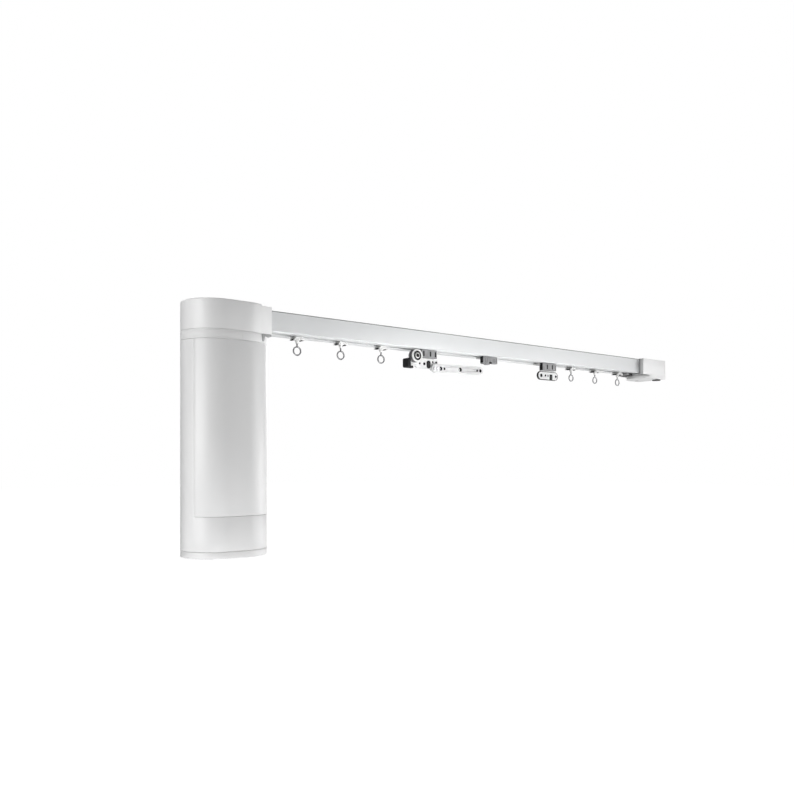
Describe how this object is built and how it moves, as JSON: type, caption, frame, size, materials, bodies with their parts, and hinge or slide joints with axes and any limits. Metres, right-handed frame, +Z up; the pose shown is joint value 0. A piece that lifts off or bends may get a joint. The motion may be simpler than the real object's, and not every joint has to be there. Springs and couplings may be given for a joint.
{
  "type": "electric curtain track",
  "caption": "White motorised curtain track: slotted rail with belt-driven carriages and hook gliders, tall oval motor hung under a drive head at one end, idler box at the other.",
  "frame": {"origin": "middle of the rail's top face, where the ceiling clips seat", "axes": "+X along the rail from the motor to the end box, +Z up, -Y towards the room (the side with the front panel and the hanger plates)"},
  "size_m": [0.6034, 0.052, 0.1981],
  "materials": {
    "rail_paint": "satin white powder coat on extruded aluminium",
    "white_gloss": "glossy white moulded plastic",
    "white_label": "bare white film",
    "base_grey": "mid grey moulded plastic",
    "grey_nylon": "grey moulded nylon",
    "white_nylon": "white acetal",
    "steel": "ground steel",
    "plate_white": "white coated steel",
    "nickel": "nickel-plated wire",
    "black_rubber": "black rubber",
    "black_plastic": "black moulded plastic",
    "board_green": "green circuit board",
    "lens_clear": "milky light guide"
  },
  "bodies": {
    "track": {"rail": "rail_paint", "drive_head": "white_gloss", "drive_head_base": "white_gloss", "end_box": "white_gloss", "end_box_base": "white_gloss", "end_stop": "grey_nylon", "drive_belt": "black_rubber", "pulley_bearings": "steel", "idler_axle": "steel", "housing_screws": "black_plastic", "motor_collar": "white_gloss", "label_strip": "white_label", "motor_shell": "white_gloss", "front_panel": "white_gloss", "bottom_cap": "white_gloss", "motor_can": "steel", "gearbox_can": "steel", "motor_dampers": "black_rubber", "circuit_board": "board_green", "board_parts": "black_plastic", "cable_gland": "black_plastic", "status_lens": "lens_clear"},
    "drive": {"drive_pulley": "white_nylon", "output_shaft": "steel"},
    "idler": {"idler_pulley": "white_nylon"},
    "button": {"set_button": "base_grey"},
    "catch": {"release_catch": "grey_nylon"},
    "left": {"left_carriage": "grey_nylon", "left_belt_clamp": "grey_nylon", "left_hanger_plate": "plate_white", "overlap_arm": "plate_white", "left_rivets": "steel", "left_buffer": "black_rubber", "left_hook_clip": "black_plastic", "roller_pin": "black_plastic"},
    "roller": {"guide_roller": "white_nylon", "roller_tyre": "black_rubber"},
    "left_axle_a": {"left_wheels_a": "white_nylon"},
    "left_axle_b": {"left_wheels_b": "white_nylon"},
    "slider": {"arm_slider": "grey_nylon"},
    "slider_axle": {"slider_wheels": "white_nylon"},
    "right": {"right_carriage": "grey_nylon", "right_belt_clamp": "grey_nylon", "right_hanger_plate": "plate_white", "right_rivets": "steel", "right_hook_clip": "black_plastic"},
    "right_axle_a": {"right_wheels_a": "white_nylon"},
    "right_axle_b": {"right_wheels_b": "white_nylon"},
    "glider_1": {"runner_1": "white_nylon"},
    "eye_1": {"runner_eye_1": "nickel"},
    "glider_2": {"runner_2": "white_nylon"},
    "eye_2": {"runner_eye_2": "nickel"},
    "glider_3": {"runner_3": "white_nylon"},
    "eye_3": {"runner_eye_3": "nickel"},
    "glider_4": {"runner_4": "white_nylon"},
    "eye_4": {"runner_eye_4": "nickel"},
    "glider_5": {"runner_5": "white_nylon"},
    "eye_5": {"runner_eye_5": "nickel"},
    "glider_6": {"runner_6": "white_nylon"},
    "eye_6": {"runner_eye_6": "nickel"}
  },
  "joints": [
    {"name": "left_travel", "type": "slide", "parent": "track", "child": "left", "axis": [1, 0, 0], "range_m": [-0.085, 0.033]},
    {"name": "right_travel", "type": "slide", "parent": "track", "child": "right", "axis": [1, 0, 0], "range_m": [-0.0335, 0.0855]},
    {"name": "slider_travel", "type": "slide", "parent": "track", "child": "slider", "axis": [1, 0, 0], "range_m": [-0.0855, 0.0335]},
    {"name": "drive_spin", "type": "hinge", "parent": "track", "child": "drive", "pos_m": [-0.2778, 0, 0], "axis": [0, 0, 1], "range_deg": [-598.9, 235.6]},
    {"name": "idler_spin", "type": "hinge", "parent": "track", "child": "idler", "pos_m": [0.2715, 0, 0], "axis": [0, 0, 1], "range_deg": [-598.9, 235.6]},
    {"name": "left_axle_a_roll", "type": "hinge", "parent": "left", "child": "left_axle_a", "pos_m": [-0.087, 0, -0.0117], "axis": [0, 1, 0], "range_deg": [-1526.9, 595.9]},
    {"name": "left_axle_b_roll", "type": "hinge", "parent": "left", "child": "left_axle_b", "pos_m": [-0.066, 0, -0.0117], "axis": [0, 1, 0], "range_deg": [-1526.9, 595.9]},
    {"name": "right_axle_a_roll", "type": "hinge", "parent": "right", "child": "right_axle_a", "pos_m": [0.079, 0, -0.0117], "axis": [0, 1, 0], "range_deg": [-595.9, 1526.9]},
    {"name": "right_axle_b_roll", "type": "hinge", "parent": "right", "child": "right_axle_b", "pos_m": [0.1, 0, -0.0117], "axis": [0, 1, 0], "range_deg": [-595.9, 1526.9]},
    {"name": "slider_axle_roll", "type": "hinge", "parent": "slider", "child": "slider_axle", "pos_m": [0.0037, 0, -0.0117], "axis": [0, 1, 0], "range_deg": [-1526.9, 595.9]},
    {"name": "roller_spin", "type": "hinge", "parent": "left", "child": "roller", "pos_m": [-0.0924, 0, -0.0235], "axis": [0, 1, 0], "continuous": true},
    {"name": "glider_1_travel", "type": "slide", "parent": "track", "child": "glider_1", "axis": [1, 0, 0], "range_m": [-0.02175, 0.00875]},
    {"name": "eye_1_swivel", "type": "hinge", "parent": "glider_1", "child": "eye_1", "pos_m": [-0.2122, 0, -0.02845], "axis": [0, 0, 1], "continuous": true},
    {"name": "glider_2_travel", "type": "slide", "parent": "track", "child": "glider_2", "axis": [1, 0, 0], "range_m": [-0.0498, 0.01964]},
    {"name": "eye_2_swivel", "type": "hinge", "parent": "glider_2", "child": "eye_2", "pos_m": [-0.1686, 0, -0.02845], "axis": [0, 0, 1], "continuous": true},
    {"name": "glider_3_travel", "type": "slide", "parent": "track", "child": "glider_3", "axis": [1, 0, 0], "range_m": [-0.0787, 0.03086]},
    {"name": "eye_3_swivel", "type": "hinge", "parent": "glider_3", "child": "eye_3", "pos_m": [-0.125, 0, -0.02845], "axis": [0, 0, 1], "continuous": true},
    {"name": "glider_4_travel", "type": "slide", "parent": "track", "child": "glider_4", "axis": [1, 0, 0], "range_m": [-0.02476, 0.06298]},
    {"name": "eye_4_swivel", "type": "hinge", "parent": "glider_4", "child": "eye_4", "pos_m": [0.137, 0, -0.02845], "axis": [0, 0, 1], "continuous": true},
    {"name": "glider_5_travel", "type": "slide", "parent": "track", "child": "glider_5", "axis": [1, 0, 0], "range_m": [-0.01271, 0.03195]},
    {"name": "eye_5_swivel", "type": "hinge", "parent": "glider_5", "child": "eye_5", "pos_m": [0.1784, 0, -0.02845], "axis": [0, 0, 1], "continuous": true},
    {"name": "glider_6_travel", "type": "slide", "parent": "track", "child": "glider_6", "axis": [1, 0, 0], "range_m": [-0.00149, 0.00305]},
    {"name": "eye_6_swivel", "type": "hinge", "parent": "glider_6", "child": "eye_6", "pos_m": [0.2198, 0, -0.02845], "axis": [0, 0, 1], "continuous": true},
    {"name": "button_press", "type": "slide", "parent": "track", "child": "button", "axis": [0, 0, 1], "range_m": [0, 0.0012], "stiffness_N_per_m": 150},
    {"name": "catch_press", "type": "slide", "parent": "track", "child": "catch", "axis": [-0.5736, 0.8192, 0], "range_m": [0, 0.0012], "stiffness_N_per_m": 150}
  ],
  "couplings": [
    {"joint": "right_travel", "follows": "left_travel", "ratio": -1},
    {"joint": "slider_travel", "follows": "left_travel", "ratio": 1},
    {"joint": "drive_spin", "follows": "left_travel", "rad_per_m": 121.95},
    {"joint": "idler_spin", "follows": "left_travel", "rad_per_m": 121.95},
    {"joint": "left_axle_a_roll", "follows": "left_travel", "rad_per_m": 312.5},
    {"joint": "left_axle_b_roll", "follows": "left_travel", "rad_per_m": 312.5},
    {"joint": "right_axle_a_roll", "follows": "left_travel", "rad_per_m": -312.5},
    {"joint": "right_axle_b_roll", "follows": "left_travel", "rad_per_m": -312.5},
    {"joint": "slider_axle_roll", "follows": "left_travel", "rad_per_m": 312.5},
    {"joint": "glider_1_travel", "follows": "left_travel", "ratio": 0.25},
    {"joint": "glider_2_travel", "follows": "left_travel", "ratio": 0.58},
    {"joint": "glider_3_travel", "follows": "left_travel", "ratio": 0.92},
    {"joint": "glider_4_travel", "follows": "left_travel", "ratio": -0.735},
    {"joint": "glider_5_travel", "follows": "left_travel", "ratio": -0.37},
    {"joint": "glider_6_travel", "follows": "left_travel", "ratio": -0.03}
  ]
}
